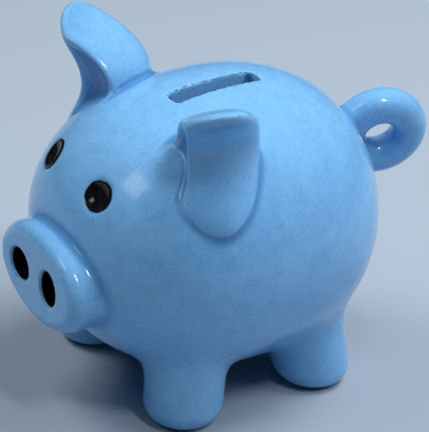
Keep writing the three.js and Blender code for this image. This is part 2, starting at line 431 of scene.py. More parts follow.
def refined(shape: Shape, level: Level, near: Level, width: float) -> Shape:
    """Halves the faces next to a feature and settles the new points on the surface.

    Args:
        shape: The mesh.
        level: Level function of the mesh's surface.
        near: Level function of the feature.
        width: Faces closer to the feature's surface than this are halved.

    Returns:
        The finer mesh.
    """
    mesh = bmesh.new()
    for point in shape.points:
        mesh.verts.new(point)
    mesh.verts.ensure_lookup_table()
    for face in shape.faces:
        mesh.faces.new([mesh.verts[corner] for corner in face])
    distance = np.abs(near(shape.points))
    close = [edge for edge in mesh.edges if max(distance[v.index] for v in edge.verts) < width]
    mesh.verts.index_update()
    bmesh.ops.subdivide_edges(mesh, edges=close, cuts=1, use_grid_fill=True)
    mesh.verts.index_update()
    points = np.array([vertex.co for vertex in mesh.verts])
    faces = [tuple(vertex.index for vertex in face.verts) for face in mesh.faces]
    mesh.free()
    return Shape(settled(level, points), faces)


def turned(profile: Sequence[tuple[float, float]], sides: int, centre: np.ndarray) -> Shape:
    """Turns an outline about a vertical axis.

    Args:
        profile: Radius and height pairs that start and end on the axis.
        sides: Number of steps round.
        centre: Foot of the axis.

    Returns:
        A closed mesh.
    """
    points = [centre + np.array([0, 0, profile[0][1]]), centre + np.array([0, 0, profile[-1][1]])]
    faces: list[tuple[int, ...]] = []
    for radius, height in profile[1:-1]:
        for step in range(sides):
            angle = 2 * math.pi * step / sides
            ring = [radius * math.cos(angle), radius * math.sin(angle), height]
            points.append(centre + np.array(ring))
    rows = len(profile) - 2
    for step in range(sides):
        after = (step + 1) % sides
        faces.append((0, 2 + after, 2 + step))
        last = 2 + (rows - 1) * sides
        faces.append((1, last + step, last + after))
        for row in range(rows - 1):
            low, high = 2 + row * sides, 2 + (row + 1) * sides
            faces.append((low + step, low + after, high + after, high + step))
    return Shape(np.array(points), faces)


# ---- Finishes -------------------------------------------------------------------------------------


class Shading:
    """Builds the nodes of one material."""

    def __init__(self, name: str) -> None:
        """Starts a material with an untouched principled shader.

        Args:
            name: Name of the material.
        """
        self.material = bpy.data.materials.new(name)
        self.material.use_nodes = True
        self.tree = self.material.node_tree
        self.shader = self.tree.nodes["Principled BSDF"]

    def node(self, kind: str, **settings: object) -> bpy.types.Node:
        """Adds a node and sets its properties.

        Args:
            kind: Type of the node.
            settings: Its properties.

        Returns:
            The node.
        """
        made = self.tree.nodes.new(kind)
        for key, value in settings.items():
            setattr(made, key, value)
        return made

    def put(self, socket: bpy.types.NodeSocket, value: object) -> None:
        """Links a socket to another one, or sets its value.

        Args:
            socket: The input.
            value: An output socket or a plain value.
        """
        if isinstance(value, bpy.types.NodeSocket):
            self.tree.links.new(value, socket)
        else:
            socket.default_value = value

    def place(self) -> bpy.types.NodeSocket:
        """Gives the object's own coordinates."""
        return self.node("ShaderNodeTexCoord").outputs["Object"]

    def attribute(self, name: str) -> bpy.types.NodeSocket:
        """Gives a named attribute of the mesh."""
        made = self.node("ShaderNodeAttribute", attribute_name=name)
        return made.outputs["Fac"]

    def noise(self, grain: float, detail: float = 2.0, rough: float = 0.5) -> bpy.types.NodeSocket:
        """Gives a noise value.

        Args:
            grain: Size of the noise's blobs, in millimetres.
            detail: Number of finer layers.
            rough: Strength of the finer layers.

        Returns:
            The socket with the value, from 0 to 1.
        """
        made = self.node("ShaderNodeTexNoise")
        self.put(made.inputs["Vector"], self.place())
        made.inputs["Scale"].default_value = 1 / (grain * MM)
        made.inputs["Detail"].default_value = detail
        made.inputs["Roughness"].default_value = rough
        return made.outputs["Fac"]

    def ramp(
        self, value: object, old: tuple[float, float], new: tuple[float, float]
    ) -> bpy.types.NodeSocket:
        """Maps a value from one range to another, held inside the new one.

        Args:
            value: Socket with the value.
            old: The range it comes from.
            new: The range it is mapped to.

        Returns:
            The socket with the new value.
        """
        made = self.node("ShaderNodeMapRange", interpolation_type="SMOOTHSTEP")
        self.put(made.inputs["Value"], value)
        for key, bound in zip(("From Min", "From Max", "To Min", "To Max"), (*old, *new)):
            made.inputs[key].default_value = bound
        return made.outputs["Result"]

    def math(self, operation: str, first: object, second: object = 0.0) -> bpy.types.NodeSocket:
        """Works out one step of arithmetic.

        Args:
            operation: Name of the operation.
            first: Socket or value on its left.
            second: Socket or value on its right.

        Returns:
            The socket with the result.
        """
        made = self.node("ShaderNodeMath", operation=operation)
        self.put(made.inputs[0], first)
        self.put(made.inputs[1], second)
        return made.outputs[0]

    def mix(self, share: object, first: object, second: object) -> bpy.types.NodeSocket:
        """Mixes two colours.

        Args:
            share: How much of the second colour is taken.
            first: Socket or colour.
            second: Socket or colour.

        Returns:
            The socket with the mixed colour.
        """
        made = self.node("ShaderNodeMix", data_type="RGBA")
        self.put(made.inputs["Factor"], share)
        self.put(made.inputs["A"], self._colour(first))
        self.put(made.inputs["B"], self._colour(second))
        return next(socket for socket in made.outputs if socket.type == "RGBA")

    @staticmethod
    def _colour(value: object) -> object:
        """Adds the alpha that a colour socket wants."""
        return (*value, 1.0) if isinstance(value, tuple) and len(value) == 3 else value

    def pinholes(self, spacing: float, radius: float, share: float) -> bpy.types.NodeSocket:
        """Gives a mask of small round spots.

        Args:
            spacing: Mean distance between spots, in millimetres.
            radius: Radius of a spot, in millimetres.
            share: Share of the spots that are kept.

        Returns:
            The socket with the mask, 1 in a spot's middle.
        """
        made = self.node("ShaderNodeTexVoronoi")
        self.put(made.inputs["Vector"], self.place())
        made.inputs["Scale"].default_value = 1 / (spacing * MM)
        reach = radius / spacing
        core = 0.35 * reach
        spot = self.ramp(made.outputs["Distance"], (core, reach), (1.0, 0.0))
        parts = self.node("ShaderNodeSeparateColor")
        self.put(parts.inputs["Color"], made.outputs["Color"])
        kept = self.math("GREATER_THAN", parts.outputs["Red"], 1 - share)
        return self.math("MULTIPLY", spot, kept)

    def bump(self, height: object, depth: float, below: object = None) -> bpy.types.NodeSocket:
        """Turns a height into a normal.

        Args:
            height: Socket with the height, from 0 to 1.
            depth: Depth of the relief, in millimetres.
            below: Normal of a relief that this one lies on.

        Returns:
            The normal's socket.
        """
        made = self.node("ShaderNodeBump")
        made.inputs["Strength"].default_value = 1.0
        made.inputs["Distance"].default_value = depth * MM
        self.put(made.inputs["Height"], height)
        if below is not None:
            self.put(made.inputs["Normal"], below)
        return made.outputs["Normal"]

    def dress(self, inputs: dict[str, object]) -> bpy.types.Material:
        """Sets the shader's inputs.

        Args:
            inputs: Sockets or values, by the names of the inputs.

        Returns:
            The finished material.
        """
        for name, value in inputs.items():
            self.put(self.shader.inputs[name], value)
        return self.material


@dataclass(frozen=True)
class BlueGlaze:
    """Glossy light blue glaze: pale where it is thin on edges, deep in creases, partly from glaze that
    pools there and partly painted shade.
    """

    slot: str = "blue_glaze"
    even: Colour = (0.180, 0.460, 0.820)
    pale: Colour = (0.265, 0.560, 0.880)
    deep: Colour = (0.065, 0.240, 0.540)
    speck: Colour = (0.030, 0.060, 0.120)

    def material(self) -> bpy.types.Material:
        """Builds the glaze.

        Returns:
            The material.
        """
        shading = Shading(self.slot)
        curve = shading.attribute("bend")
        thin = shading.ramp(curve, (0.15, 0.9), (0.0, 0.3))
        # Darker in creases: partly glaze that pools there, partly painted shade at the ear roots and the
        # leg and tail joins.
        pooled_glaze_and_crease_shade = shading.ramp(curve, (0.0, -0.30), (0.0, 0.85))
        cloud = shading.ramp(shading.noise(26.0, 3.0), (0.3, 0.7), (0.0, 0.22))
        mottle = shading.ramp(shading.noise(4.5, 3.0, 0.6), (0.35, 0.75), (0.0, 0.2))
        grain = shading.ramp(shading.noise(0.7, 2.0, 0.7), (0.48, 0.74), (0.0, 0.44))
        colour = shading.mix(cloud, self.even, self.pale)
        colour = shading.mix(mottle, colour, self.deep)
        colour = shading.mix(thin, colour, self.pale)
        colour = shading.mix(pooled_glaze_and_crease_shade, colour, self.deep)
        colour = shading.mix(grain, colour, self.deep)
        bare = shading.ramp(curve, (0.75, 1.1), (0.0, 0.85))
        broken = shading.ramp(shading.noise(1.1, 2.0, 0.6), (0.42, 0.6), (0.0, 1.0))
        colour = shading.mix(shading.math("MULTIPLY", bare, broken), colour, self.speck)
        pits = shading.pinholes(17.0, 0.42, 0.45)
        dust = shading.pinholes(4.0, 0.24, 0.45)
        spots = shading.math("MAXIMUM", pits, shading.math("MULTIPLY", dust, 0.75))
        colour = shading.mix(spots, colour, self.speck)
        gloss = shading.ramp(shading.noise(9.0, 3.0), (0.3, 0.7), (0.16, 0.26))
        skin = shading.bump(shading.noise(2.6, 2.0), 0.012)
        hollow = shading.math("SUBTRACT", 1.0, spots)
        inputs = {
            "Base Color": colour,
            "Roughness": gloss,
            "IOR": 1.38,
            "Coat Weight": 0.4,
            "Coat Roughness": 0.08,
            "Normal": shading.bump(hollow, 0.12, skin),
        }
        return shading.dress(inputs)


@dataclass(frozen=True)
class BlackGlaze:
    """Deep black glaze, pooled in the eyes and nostrils."""

    slot: str = "black_glaze"
    dark: Colour = (0.0035, 0.0035, 0.005)
    brown: Colour = (0.018, 0.013, 0.012)

    def material(self) -> bpy.types.Material:
        """Builds the glaze.

        Returns:
            The material.
        """
        shading = Shading(self.slot)
        cloud = shading.ramp(shading.noise(1.6, 3.0), (0.45, 0.8), (0.0, 1.0))
        inputs = {
            "Base Color": shading.mix(cloud, self.dark, self.brown),
            "Roughness": shading.ramp(shading.noise(1.1, 2.0), (0.3, 0.7), (0.05, 0.12)),
            "IOR": 1.42,
            "Normal": shading.bump(shading.noise(1.4, 2.0), 0.05),
        }
        return shading.dress(inputs)


@dataclass(frozen=True)
class BareClay:
    """Unglazed fired clay under the feet, scuffed by the shelf."""

    slot: str = "bare_clay"
    clay: Colour = (0.62, 0.52, 0.42)
    scuff: Colour = (0.30, 0.25, 0.21)

    def material(self) -> bpy.types.Material:
        """Builds the clay.

        Returns:
            The material.
        """
        shading = Shading(self.slot)
        cloud = shading.ramp(shading.noise(2.4, 4.0, 0.65), (0.45, 0.75), (0.0, 0.8))
        inputs = {
            "Base Color": shading.mix(cloud, self.clay, self.scuff),
            "Roughness": 0.85,
            "Normal": shading.bump(shading.noise(0.5, 3.0), 0.06),
        }
        return shading.dress(inputs)


@dataclass(frozen=True)
class StopperRubber:
    """Soft off-white stopper with a moulded satin skin and a little grime."""

    slot: str = "stopper_rubber"
    clean: Colour = (0.66, 0.62, 0.52)
    grime: Colour = (0.40, 0.36, 0.29)

    def material(self) -> bpy.types.Material:
        """Builds the rubber.

        Returns:
            The material.
        """
        shading = Shading(self.slot)
        cloud = shading.ramp(shading.noise(5.0, 4.0, 0.6), (0.5, 0.8), (0.0, 0.6))
        inputs = {
            "Base Color": shading.mix(cloud, self.clean, self.grime),
            "Roughness": shading.ramp(shading.noise(3.0), (0.3, 0.7), (0.45, 0.62)),
            "Subsurface Weight": 0.15,
            "Subsurface Radius": (0.003, 0.002, 0.0015),
            "Normal": shading.bump(shading.noise(0.6, 2.0), 0.03),
        }
        return shading.dress(inputs)


class Finishes:
    """The bank's materials, each made once."""

    def __init__(self) -> None:
        """Makes the four materials."""
        self.blue = BlueGlaze().material()
        self.black = BlackGlaze().material()
        self.clay = BareClay().material()
        self.rubber = StopperRubber().material()


# ---- Pieces ---------------------------------------------------------------------------------------


def finished(
    name: str,
    shape: Shape,
    materials: Sequence[bpy.types.Material],
    outer: Level,
    own: Level | None = None,
) -> bpy.types.Object:
    """Makes a smooth object from a shape.

    Args:
        name: Name of the piece.
        shape: Its mesh, in millimetres.
        materials: Its materials.
        outer: Level function of the pig's whole outer surface.
        own: The piece's own level function, or None to shade by the mesh.

    Returns:
        The object, at the origin.
    """
    mesh = bpy.data.meshes.new(name)
    mesh.from_pydata((shape.points * MM).tolist(), [], shape.faces)
    for material in materials:
        mesh.materials.append(material)
    mesh.shade_smooth()
    edge = mesh.attributes.new("bend", "FLOAT", "POINT")
    edge.data.foreach_set("value", bend(outer, shape.points).astype(np.float32))
    if own is not None:
        normals = gradient(own, shape.points)
        skin_gap = 0.05
        skin = np.abs(outer(shape.points)) < skin_gap
        normals[skin] = gradient(outer, shape.points[skin])
        normals /= np.maximum(np.linalg.norm(normals, axis=1, keepdims=True), 1e-9)
        mesh.normals_split_custom_set_from_vertices(normals.tolist())
    piece = bpy.data.objects.new(name, mesh)
    bpy.context.scene.collection.objects.link(piece)
    LOG.info("%s: %d faces", name, len(mesh.polygons))
    return piece


def declare(piece: bpy.types.Object, body: str, slot: str, *nodes: str) -> None:
    """Ties a piece to the frame.

    Args:
        piece: The piece.
        body: The body it moves with.
        slot: The record's material slot; not used.
        nodes: The frame nodes it stands for.
    """
    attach(piece, body)
    if nodes:
        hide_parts(*nodes)


@dataclass
class Tools:
    """The cuts in the body: coin slot, belly well and hole, and the two eye dimples."""

    ovoid: Ovoid
    slot_length: float = 29.5
    slot_width: float = 6.3
    slot_corner: float = 1.6
    hole_radius: float = 14.0
    well_radius: float = 17.6
    seat_rise: float = 3.6
    dimple_depth: float = 2.2
    dimple_radii: dict[Side, float] = field(
        default_factory=lambda: {Side.LEFT: 7.2, Side.RIGHT: 8.0}
    )
    slot_centre: np.ndarray = field(init=False)
    well_centre: np.ndarray = field(init=False)
    seat: float = field(init=False)
    dimples: dict[Side, np.ndarray] = field(init=False)

    def __post_init__(self) -> None:
        """Places the cuts by the frame."""
        low, high = opening_box("coin_slot")
        self.slot_centre = (low + high) / 2
        self.well_centre = node_centre("stopper")
        self.seat = self.ovoid.centre[2] - self.ovoid.half_height + self.seat_rise
        self.dimples = {}
        for side in Side:
            place, normal = self.ovoid.nearest(node_centre(f"eye_{side.word}"))
            self.dimples[side] = place + normal * (self.dimple_radii[side] - self.dimple_depth)

    def slot(self, points: np.ndarray) -> np.ndarray:
        """Gives the level of the coin slot.

        Args:
            points: Places, one row each.

        Returns:
            One level for each place.
        """
        across = np.abs(points[:, 0] - self.slot_centre[0]) - self.slot_width / 2
        along = np.abs(points[:, 1] - self.slot_centre[1]) - self.slot_length / 2
        outline = rounded(across, along, self.slot_corner)
        return np.maximum(outline, self.ovoid.centre[2] - points[:, 2])

    def _pit(self, points: np.ndarray, radius: float, top: float) -> np.ndarray:
        """Gives the level of a round pit in the belly, with its radius and the height of its top."""
        distance = np.hypot(points[:, 0], points[:, 1] - self.well_centre[1])
        return np.maximum(distance - radius, points[:, 2] - top)

    def well(self, points: np.ndarray) -> np.ndarray:
        """Gives the level of the well round the belly hole."""
        return self._pit(points, self.well_radius, self.seat)

    def hole(self, points: np.ndarray) -> np.ndarray:
        """Gives the level of the belly hole."""
        return self._pit(points, self.hole_radius, self.ovoid.centre[2] / 2)

    def dimple(self, points: np.ndarray) -> np.ndarray:
        """Gives the level of the two eye dimples."""
        gaps = [np.linalg.norm(points - self.dimples[side], axis=1) for side in Side]
        return np.minimum(*(gap - self.dimple_radii[side] for gap, side in zip(gaps, Side)))


@dataclass
class Snout:
    """Flat oval snout with two blind nostrils lined with black glaze."""

    edge: float = 4.2
    root: float = 20.0
    reach: float = 4.0
    nostril_depth: float = 5.0
    nostril_lip: float = 1.5
    lining: float = 0.35
    nostrils: dict[Side, tuple[float, float]] = field(
        default_factory=lambda: {Side.LEFT: (9.4, 11.4), Side.RIGHT: (11.4, 10.2)}
    )

    def __post_init__(self) -> None:
        """Places the snout by the frame."""
        low, high = node_box("snout")
        self.centre = np.array([(low[0] + high[0]) / 2, low[1], (low[2] + high[2]) / 2])
        self.half_width = (high[0] - low[0]) / 2
        self.half_height = (high[2] - low[2]) / 2

    def level(self, points: np.ndarray) -> np.ndarray:
        """Gives the level of the snout without its nostrils.

        Args:
            points: Places, one row each.

        Returns:
            One level for each place.
        """
        x, y, z = (points - self.centre).T
        size = np.maximum(np.hypot(x / self.half_width, z / self.half_height), TINY)
        slope = np.hypot(x / self.half_width**2, z / self.half_height**2) / size
        core = 0.3
        rim = (size - 1) / np.maximum(slope, TINY)
        side = np.where(size > core, rim, (core - 1) * self.half_height)
        return rounded(side, np.maximum(-y, y - self.root), self.edge)

    def nostril(self, points: np.ndarray, grow: float = 0.0) -> np.ndarray:
        """Gives the level of the two nostril holes.

        Args:
            points: Places, one row each.
            grow: How far the holes' surface is moved out.

        Returns:
            One level for each place.
        """
        holes = []
        for side in Side:
            x, _, z = (points - node_centre(f"nostril_{side.word}")).T
            width, height = self.nostrils[side]
            size = np.maximum(np.hypot(x / width, z / height), TINY)
            slope = np.hypot(x / width**2, z / height**2) / size
            holes.append((size - 0.5) / slope - grow)
        depth = points[:, 1] - self.centre[1] - self.nostril_depth - grow
        return np.maximum(np.minimum(*holes), depth)


@dataclass
class Ears:
    """Two upright petals whose ends curl outwards, each with a scoop that opens forwards.

    Lengths are in millimetres. The two aims point up along the left ear and forwards across it. The
    limits are shares of the half length: beyond them the ear bends no further.
    """

    up_aim: tuple[float, float, float] = (0.05, -0.09, 0.99)
    forward_aim: tuple[float, float, float] = (-0.37, -0.93, -0.06)
    length: float = 39.3
    width: float = 23.6
    thickness: float = 17.4
    taper: float = 0.04
    thinning: float = 0.05
    curl: float = 16.2
    sweep: float = 0.3
    hook: float = -1.0
    front_share: float = 1.4
    curl_limit: float = 1.4
    bend_limit: float = 2.0
    reach: float = 3.6
    scoop_turn: float = 2.0
    scoop_out: float = 17.2
    scoop_half_width: float = 7.6
    scoop_half_depth: float = 9.0
    scoop_length_share: float = 0.76
    scoop_edge: float = 3.5

    def __post_init__(self) -> None:
        """Places the petals so that their tips and outer edges meet the frame's boxes."""
        self.up = unit(self.up_aim)
        across = np.array(self.forward_aim)
        self.forward = unit(across - across @ self.up * self.up)
        self.outward = np.cross(self.up, self.forward)
        low, high = node_box("ear_left")
        corner = np.array([high[0], low[1], high[2]])
        samples = 73
        angle, rise = np.meshgrid(np.linspace(0, 2 * math.pi, samples), np.linspace(-1, 1, samples))
        ring = np.sqrt(1 - rise**2)
        sheet = self._place(rise, ring * np.cos(angle), ring * np.sin(angle)).reshape(-1, 3)
        reach = np.array([sheet[:, 0].max(), sheet[:, 1].min(), sheet[:, 2].max()])
        self.centre = corner - reach

    def _place(self, along: np.ndarray, across: np.ndarray, through: np.ndarray) -> np.ndarray:
        """Places points of the left petal.

        Args:
            along: Share of the half length, from -1 to 1.
            across: Share of the half width, forwards.
            through: Share of the half thickness, outwards.

        Returns:
            The points, with X, Y and Z on the last axis.
        """
        forward = across * (1 + self.taper * along) * self._half_depth(across)
        forward = forward + self.sweep * along**2 + self.hook * along**3
        outward = through * (1 - self.thinning * along) * self.thickness / 2 + self._curled(along)
        steps = (along * self.length / 2, forward, outward)
        axes = (self.up, self.forward, self.outward)
        return sum(step[..., None] * axis for step, axis in zip(steps, axes))

    def _half_depth(self, across: np.ndarray) -> np.ndarray:
        """Gives the petal's half width, which is larger in front of its middle."""
        return np.where(across > 0, self.front_share, 1.0) * self.width / 2

    def _curled(self, along: np.ndarray) -> np.ndarray:
        """Gives how far outwards the ear bends, less steeply at its ends."""
        held = np.clip(along, -self.curl_limit, self.curl_limit)
        return self.curl * (4 * held**2 - held**4) / 3

    def _unfold(self, points: np.ndarray) -> tuple[np.ndarray, np.ndarray, np.ndarray]:
        """Straightens the ear.

        Args:
            points: Places on the pig's left.

        Returns:
            The share along the ear, and the distances forwards and outwards from its middle.
        """
        spot = points - self.centre
        along = spot @ self.up / (self.length / 2)
        held = np.clip(along, -self.bend_limit, self.bend_limit)
        forward = spot @ self.forward - self.sweep * held**2 - self.hook * held**3
        return along, forward, spot @ self.outward - self._curled(held)

    def _petal_size(self, points: np.ndarray) -> np.ndarray:
        """Measures the petal.

        Args:
            points: Places on the pig's left.

        Returns:
            A size for each place, 1 on the petal's surface and less inside.
        """
        along, forward, outward = self._unfold(points)
        held = np.clip(along, -self.bend_limit, self.bend_limit)
        across = forward / (self._half_depth(forward) * (1 + self.taper * held))
        through = outward / (self.thickness / 2 * (1 - self.thinning * held))
        return np.sqrt(along**2 + across**2 + through**2)

    def _scoop_size(self, points: np.ndarray) -> np.ndarray:
        """Measures the scoop.

        Args:
            points: Places on the pig's left.

        Returns:
            A size for each place, 1 on the scoop's surface and less inside.
        """
        along, forward, outward = self._unfold(points)
        turn = math.radians(self.scoop_turn)
        out = forward * math.cos(turn) + outward * math.sin(turn) - self.scoop_out
        aside = forward * math.sin(turn) - outward * math.cos(turn)
        rise = along / self.scoop_length_share
        return np.sqrt(rise**2 + (aside / self.scoop_half_width) ** 2 + (out / self.scoop_half_depth) ** 2)

    @staticmethod
    def _measured(size: Level, points: np.ndarray, step: float = 0.3) -> np.ndarray:
        """Turns a size function into a level in millimetres.

        Args:
            size: The size function, 1 on the surface and less inside.
            points: Places, one row each.
            step: Distance between the samples that measure its slope.

        Returns:
            One level for each place.
        """
        here = size(points)
        slopes = [size(points + step * axis) - here for axis in np.eye(3)]
        slope = np.sqrt(sum(part**2 for part in slopes)) / step
        return (here - 1) / np.maximum(slope, TINY)

    def level(self, points: np.ndarray, side: Side) -> np.ndarray:
        """Gives the level of one ear.

        Args:
            points: Places, one row each.
            side: The ear's side.

        Returns:
            One level for each place.
        """
        places = points * np.array([side.value, 1, 1])
        petal = self._measured(self._petal_size, places)
        return cut(petal, self._measured(self._scoop_size, places), self.scoop_edge)


@dataclass
class Legs:
    """Four stumps with rounded feet. Each leans in towards the body, and its foot stays level."""

    radius: float = 12.3
    foot_edge: float = 6.2
    top: float = 34.0
    reach: float = 8.0
    leans: dict[End, float] = field(default_factory=lambda: {End.FRONT: 0.10, End.REAR: 0.14})

    def level(self, points: np.ndarray, side: Side, end: End) -> np.ndarray:
        """Gives the level of one leg.

        Args:
            points: Places, one row each.
            side: The leg's side.
            end: The leg's end of the pig.

        Returns:
            One level for each place.
        """
        foot = mount_place(f"foot_{end.word}_{side.word}")
        lean = self.leans[end]
        x = points[:, 0] - foot[0] + side.value * lean * points[:, 2]
        y = points[:, 1] - foot[1] + end.value * lean * points[:, 2]
        height = np.maximum(-points[:, 2], points[:, 2] - self.top)
        return rounded(np.hypot(x, y) - self.radius, height, self.foot_edge)


@dataclass
class Tail:
    """Rope of clay curled into a ring that is sunk in the rump."""

    ring_radius: float = 10.1
    rope_radius: float = 5.7
    axis: tuple[float, float, float] = (0.917, -0.307, -0.254)
    reach: float = 6.0

    def __post_init__(self) -> None:
        """Places the ring by the frame."""
        low, high = node_box("tail_loop")
        self.normal = unit(self.axis)
        spread = self.ring_radius * np.sqrt(1 - self.normal**2) + self.rope_radius
        middle = (low + high) / 2
        self.centre = np.array([middle[0], high[1] - spread[1], middle[2]])

    def level(self, points: np.ndarray) -> np.ndarray:
        """Gives the level of the ring.

        Args:
            points: Places, one row each.

        Returns:
            One level for each place.
        """
        spot = points - self.centre
        off = spot @ self.normal
        flat = np.linalg.norm(spot - off[:, None] * self.normal, axis=1) - self.ring_radius
        return np.hypot(flat, off) - self.rope_radius


@dataclass(frozen=True)
class Limb:
    """A form that is fixed to the shell, with the reach of its fillet in millimetres."""

    piece: str
    node: str
    level: Level
    reach: float


@dataclass
class Pig:
    """The glazed ceramic pig: the shell and everything fixed to it. Sizes are in millimetres."""

    finishes: Finishes
    wall: float = 5.0
    collar: float = 2.2
    collar_reach: float = 6.0
    cavity_edge: float = 1.0
    bite: float = 2.0
    lap: float = 0.02
    skirt_share: float = 0.88
    foot_height: float = 0.05
    slot_edge: float = 1.1
    rim_edge: float = 1.6
    dimple_edge: float = 1.8
    pool_radii: dict[Side, float] = field(
        default_factory=lambda: {Side.LEFT: 5.2, Side.RIGHT: 5.7}
    )
    pool_squash: float = 1.1
    pool_depth: float = 0.8
    pool_hollow: float = 8.5
    pool_sink: float = 0.15
    pool_lap: float = 0.06
    pool_edge: float = 0.4
    pool_waves: tuple[tuple[float, float], tuple[float, float]] = ((0.16, 1.9), (0.10, 2.7))
    lining_sink: float = 0.1
    lining_edge: float = 0.2
    lining_start: float = 0.75
    slot_bands: tuple[float, float] = (2.6, 1.4)
    dimple_band: float = 3.0
    shell_cell: float = 1.0
    limb_cell: float = 0.7
    pool_cell: float = 0.3
    lining_cell: float = 0.22

    def __post_init__(self) -> None:
        """Sets out the forms."""
        self.ovoid = Ovoid.from_frame()
        self.tools = Tools(self.ovoid)
        self.snout = Snout()
        self.ears = Ears()
        self.legs = Legs()
        self.tail = Tail()
        self.middle_limbs = [
            Limb("snout_disc", "snout", self.snout.level, self.snout.reach),
            Limb("tail_ring", "tail_loop", self.tail.level, self.tail.reach),
        ]
        self.side_limbs = {side: self._limbs_of(side) for side in Side}

    def _limbs_of(self, side: Side) -> list[Limb]:
        """Lists one side's ear and legs.

        Args:
            side: The side.

        Returns:
            Its limbs.
        """
        ear = partial(self.ears.level, side=side)
        limbs = [Limb(f"ear_petal_{side.word}", f"ear_{side.word}", ear, self.ears.reach)]
        for end in End:
            place = f"{end.word}_{side.word}"
            leg = partial(self.legs.level, side=side, end=end)
            limbs.append(Limb(f"stump_{place}", f"leg_{place}", leg, self.legs.reach))
        return limbs

    def outer(self, points: np.ndarray) -> np.ndarray:
        """Gives the level of the whole pig's outer surface, cuts left out.

        Args:
            points: Places, one row each.

        Returns:
            One level for each place.
        """
        total = self.ovoid.level(points)
        for limb in (*self.middle_limbs, *self.side_limbs[Side.LEFT], *self.side_limbs[Side.RIGHT]):
            total = joined(total, limb.level(points), limb.reach)
        return total

    def _cut_open(self, total: np.ndarray, points: np.ndarray) -> np.ndarray:
        """Cuts the slot, the eye dimples and the well.

        Args:
            total: Levels of the uncut form.
            points: Their places.

        Returns:
            Levels of the cut form.
        """
        total = cut(total, self.tools.slot(points), self.slot_edge)
        total = cut(total, self.tools.dimple(points), self.dimple_edge)
        return cut(total, self.tools.well(points), self.rim_edge)

    def opened(self, points: np.ndarray) -> np.ndarray:
        """Gives the level of the whole outer surface with its cuts."""
        total = self._cut_open(self.outer(points), points)
        return cut(total, self.snout.nostril(points), self.snout.nostril_lip)

    def shell(self, points: np.ndarray) -> np.ndarray:
        """Gives the level of the hollow shell.

        Args:
            points: Places, one row each.

        Returns:
            One level for each place.
        """
        collar = self.collar * np.exp(-((self.tools.slot(points) / self.collar_reach) ** 2))
        cavity = self.ovoid.level(points, -self.wall) + collar
        total = self._cut_open(cut(self.ovoid.level(points), cavity, self.cavity_edge), points)
        return cut(total, self.tools.hole(points), self.rim_edge)

    def rooted(self, points: np.ndarray, limb: Limb) -> np.ndarray:
        """Gives the level of a limb with its fillet and its root in the wall.

        Args:
            points: Places, one row each.
            limb: The limb.

        Returns:
            One level for each place.
        """
        body, bare = self.ovoid.level(points), limb.level(points)
        skin = joined(body, bare, limb.reach) - self.lap
        rim = np.maximum(bare - self.skirt_share * limb.reach, -body - self.bite)
        total = cut(np.maximum(skin, rim), self.tools.well(points), self.rim_edge)
        return cut(total, self.snout.nostril(points), self.snout.nostril_lip)

    def build(self) -> None:
        """Makes every glazed piece."""
        self.build_shell()
        for limb in self.middle_limbs:
            self.build_limb(limb)
        for side in Side:
            for limb in self.side_limbs[side]:
                self.build_limb(limb)
            self.build_eye(side)
            self.build_nostril(side)

    def build_shell(self) -> None:
        """Makes the hollow shell, finer round its cuts."""
        low, high = node_box("body_shell")
        low[2] = self.ovoid.centre[2] - self.ovoid.half_height - SPARE
        shape = Net(self.shell_cell).shape(self.shell, low, high)
        wide_band, narrow_band = self.slot_bands
        shape = refined(shape, self.shell, self.tools.slot, wide_band)
        shape = refined(shape, self.shell, self.tools.dimple, self.dimple_band)
        shape = refined(shape, self.shell, self.tools.slot, narrow_band)
        piece = finished("shell", shape, [self.finishes.blue], self.opened, self.shell)
        declare(piece, BODY, "blue_glaze", "body_shell")

    def build_limb(self, limb: Limb) -> None:
        """Makes one piece that is fixed to the shell, with bare clay where it stands on the ground.

        Args:
            limb: The limb.
        """
        low, high = node_box(limb.node)
        level = partial(self.rooted, limb=limb)
        margin = limb.reach + self.bite + 4 * SPARE
        shape = Net(self.limb_cell).shape(level, low - margin, high + margin)
        materials = [self.finishes.blue, self.finishes.clay]
        piece = finished(limb.piece, shape, materials, self.opened, level)
        heights = shape.points[:, 2]
        for face in piece.data.polygons:
            if max(heights[corner] for corner in face.vertices) < self.foot_height:
                face.material_index = 1
        declare(piece, BODY, "blue_glaze", limb.node)

    def build_eye(self, side: Side) -> None:
        """Makes the black pool in one eye dimple.

        Args:
            side: The eye's side.
        """
        centre = self.tools.dimples[side]
        radius = self.tools.dimple_radii[side]
        normal = self.ovoid.nearest(centre)[1]
        across = unit(np.cross((0, 0, 1), normal))
        rise = np.cross(normal, across)
        top = centre + normal * (self.pool_depth + self.pool_hollow - radius)

        def level(points: np.ndarray) -> np.ndarray:
            """Gives the level of the pool.

            Args:
                points: Places, one row each.

            Returns:
                One level for each place.
            """
            spot = points - top
            ball = np.linalg.norm(points - centre, axis=1) - radius - self.pool_sink
            face = self.pool_hollow - np.linalg.norm(spot, axis=1)
            (tall, tall_turn), (wide, wide_turn) = self.pool_waves
            ragged = tall * np.sin(points[:, 2] * tall_turn + side.value)
            ragged = ragged + wide * np.sin(points[:, 0] * wide_turn)
            size = np.hypot(spot @ across, spot @ rise * self.pool_squash)
            edge = size - self.pool_radii[side] - ragged
            lens = np.maximum(np.maximum(ball, face), self.ovoid.level(points) + self.pool_lap)
            return shared(lens, edge, self.pool_edge)

        box = np.full(3, radius + SPARE)
        shape = Net(self.pool_cell).shape(level, centre - box, centre + box)
        piece = finished(f"eye_pool_{side.word}", shape, [self.finishes.black], self.opened, level)
        declare(piece, BODY, "black_glaze", f"eye_{side.word}")

    def build_nostril(self, side: Side) -> None:
        """Makes the black lining of one nostril.

        Args:
            side: The nostril's side.
        """
        snout = self.snout

